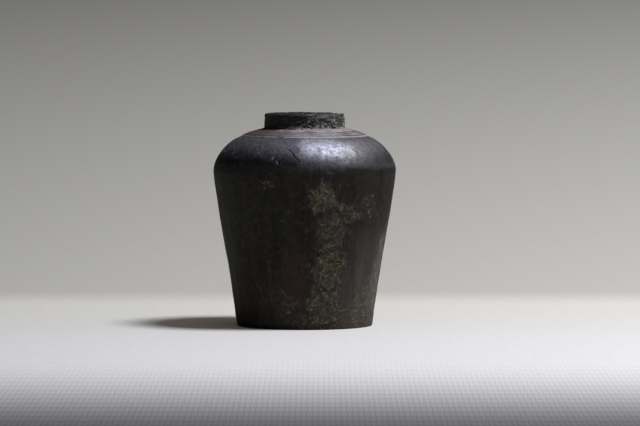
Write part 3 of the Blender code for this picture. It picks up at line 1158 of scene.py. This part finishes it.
def slip_finish():
    material, shader, place = clay_material("dried_slip")
    axes = axes_of(place)
    crumbs = grain(place, 1500.0, 5.0, 0.7)
    lumps = grain(place, 420.0, 3.0, 0.6)
    pale_side = spread(axes[0], -10 * MM, 0 * MM)
    pale = blend(crumbs, (0.16, 0.145, 0.155, 1), (0.48, 0.455, 0.47, 1))
    stained = blend(crumbs, (0.016, 0.013, 0.012, 1), (0.070, 0.054, 0.050, 1))
    cover = spread(plus(times(pale_side, 0.7), lumps), 0.62, 1.0)
    colour = blend(cover, stained, pale)
    roughness = spread(crumbs, 0.3, 0.7, 0.84, 0.96)
    connect(shader, colour, roughness, bump(crumbs, 0.15 * MM, 0.9), specular=0.25)
    return material


slip_bead.data.materials.append(slip_finish())
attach(slip_bead, "root")
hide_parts("neck_slip_bead")


# ---- Cloth and backdrop ------------------------------------------------------------------------
# A pale plain-weave cotton cloth laid flat under the pot, serving as the backdrop at its far edges. Light
# and
# shade are painted into its colour: bright round the pot, fading to grey towards the far edges, shaded
# towards the front and in the gaps of the weave, and paler to the right.

THREAD = 1.2 * MM
EYE_DISTANCE = 1.1958  # from the pot's axis to the camera
bpy.ops.object.select_all(action="DESELECT")
bpy.ops.mesh.primitive_circle_add(vertices=96, radius=30.0, fill_type="NGON", location=(0, 0, 0))
cloth = bpy.context.object
cloth.name = "cloth"
bpy.ops.object.mode_set(mode="EDIT")
bpy.ops.mesh.select_all(action="SELECT")
for margin in (26.0, 3.5):  # rings at 4 m and 0.5 m from the pot keep the middle finely faceted
    bpy.ops.mesh.inset(thickness=margin)
bpy.ops.mesh.poke()
bpy.ops.object.mode_set(mode="OBJECT")


def make_weave_group():
    """Plain weave seen from above: each thread runs over one and under the next, looser at the front."""
    inputs = [("Place", VECTOR), ("Thread", FLOAT, THREAD)]
    group, start, end = new_group("plain_weave", inputs, [("Height", FLOAT), ("Slub", FLOAT)])
    axes = axes_of(start.outputs["Place"])
    droop = math_node("MINIMUM", plus(axes[1], 0.1), 0.0)
    along = minus(axes[1], times(droop, 0.88))
    turns = [
        times(math_node("DIVIDE", way, start.outputs["Thread"]), math.pi)
        for way in (axes[0], along)
    ]
    waves = [math_node("SINE", turn) for turn in turns]
    crowns = [math_node("ABSOLUTE", wave) for wave in waves]
    over = times(waves[0], waves[1])
    warp = times(crowns[0], spread(over, -0.4, 0.4))
    weft = times(crowns[1], spread(over, 0.4, -0.4))
    slub = grain(stretched(start.outputs["Place"], (1, 0.12, 1)), 420.0, 2.0)
    give(end, Height=math_node("MAXIMUM", warp, weft), Slub=slub)
    return group


plain_weave = make_weave_group()


def cloth_finish():
    material, shader, place = clay_material("pale_cotton")
    weave = use_group(plain_weave, {"Place": place, "Thread": THREAD})
    axes = axes_of(place)
    distance = vector_node("LENGTH", {0: place})["Value"]
    # Painted light: paler round the pot, fading to grey with distance.
    fade = math_node("DIVIDE", 0.372, plus(math_node("DIVIDE", distance, 1.7), 1.0))
    far_tone = plus(fade, 0.184)
    near_tone = spread(axes[1], 0.080, -0.100, 0.72, 0.79)
    lit = spread(axes[1], 0.132, 0.068)
    tone = add_node("ShaderNodeMix", {0: lit, 2: far_tone, 3: near_tone}).outputs[0]
    # Painted shade towards the front edge of the cloth.
    front = spread(axes[1], -0.285, -0.112, 0.15, 1.0)
    back_out = spread(axes[1], -0.340, -0.600)
    with_painted_front_shade = times(tone, most_of([front, times(back_out, 0.6)]))
    # Painted light: paler towards the right as seen from the camera.
    depth = math_node("MAXIMUM", plus(axes[1], EYE_DISTANCE), 0.4)
    slope = math_node("DIVIDE", axes[0], depth)
    slant = add_node("ShaderNodeClamp", {"Value": slope, "Min": -0.09, "Max": 0.09}).outputs[0]
    with_painted_side_light = times(with_painted_front_shade, plus(times(slant, 2.4), 1.0))
    # Painted shade in the gaps between threads, strongest near the front.
    gap_shade_strength = spread(axes[1], -0.08, -0.22, 0.01, 0.24)
    threads_and_painted_gap_shade = plus(swing(weave["Height"], gap_shade_strength), 1.0)
    slubs = spread(weave["Slub"], 0.3, 0.7, 0.99, 1.01)
    shade = times(times(with_painted_side_light, threads_and_painted_gap_shade), slubs)
    warm_shade = times(shade, spread(axes[1], 0.140, -0.120, 0.955, 1.040))
    colour = add_node("ShaderNodeCombineColor", {0: shade, 1: shade, 2: warm_shade}).outputs[0]
    connect(shader, colour, 0.95, bump(weave["Height"], 0.1 * MM, 0.15), specular=0.0)
    return material


cloth.data.materials.append(cloth_finish())


# ---- Light -------------------------------------------------------------------------------------
# One soft window high on the right, with the ceiling round it glowing from it, and a dim room below.

TOWARD_WINDOW = Vector((0.45, -0.14, 0.88)).normalized()
window_light = bpy.data.lights.new("window", "SUN")
window_light.energy = 2.70
window_light.angle = math.radians(17)
window_light.color = (0.990, 0.995, 1.020)
window = bpy.data.objects.new("window", window_light)
bpy.context.scene.collection.objects.link(window)
window.location = TOWARD_WINDOW
window.rotation_euler = TOWARD_WINDOW.to_track_quat("Z", "Y").to_euler()

room = bpy.data.worlds.new("room")
bpy.context.scene.world = room
room.use_nodes = True
air = room.node_tree
backdrop = air.nodes["Background"]
looking = air.nodes.new("ShaderNodeTexCoord").outputs["Generated"]
from_window = vector_node("DOT_PRODUCT", {0: looking, 1: TOWARD_WINDOW})["Value"]
glow = spread(from_window, 0.05, 0.90)
ceiling = blend(glow, (0.012, 0.011, 0.010, 1), (0.255, 0.232, 0.210, 1))
seen = air.nodes.new("ShaderNodeLightPath").outputs["Is Camera Ray"]
air.links.new(blend(seen, ceiling, (0.20, 0.197, 0.19, 1)), backdrop.inputs["Color"])


# ---- Camera ------------------------------------------------------------------------------------
# A long lens almost level with the pot's mouth.

lens = bpy.data.cameras.new("camera")
lens.lens = 258.9
lens.sensor_width = 36.0
camera = bpy.data.objects.new("camera", lens)
bpy.context.scene.collection.objects.link(camera)
camera.location = (4.0 * MM, -EYE_DISTANCE, 92.5 * MM)
camera.rotation_euler = (math.radians(90 - 3.03), 0, 0)
bpy.context.scene.camera = camera
bpy.context.scene.view_settings.view_transform = "Standard"
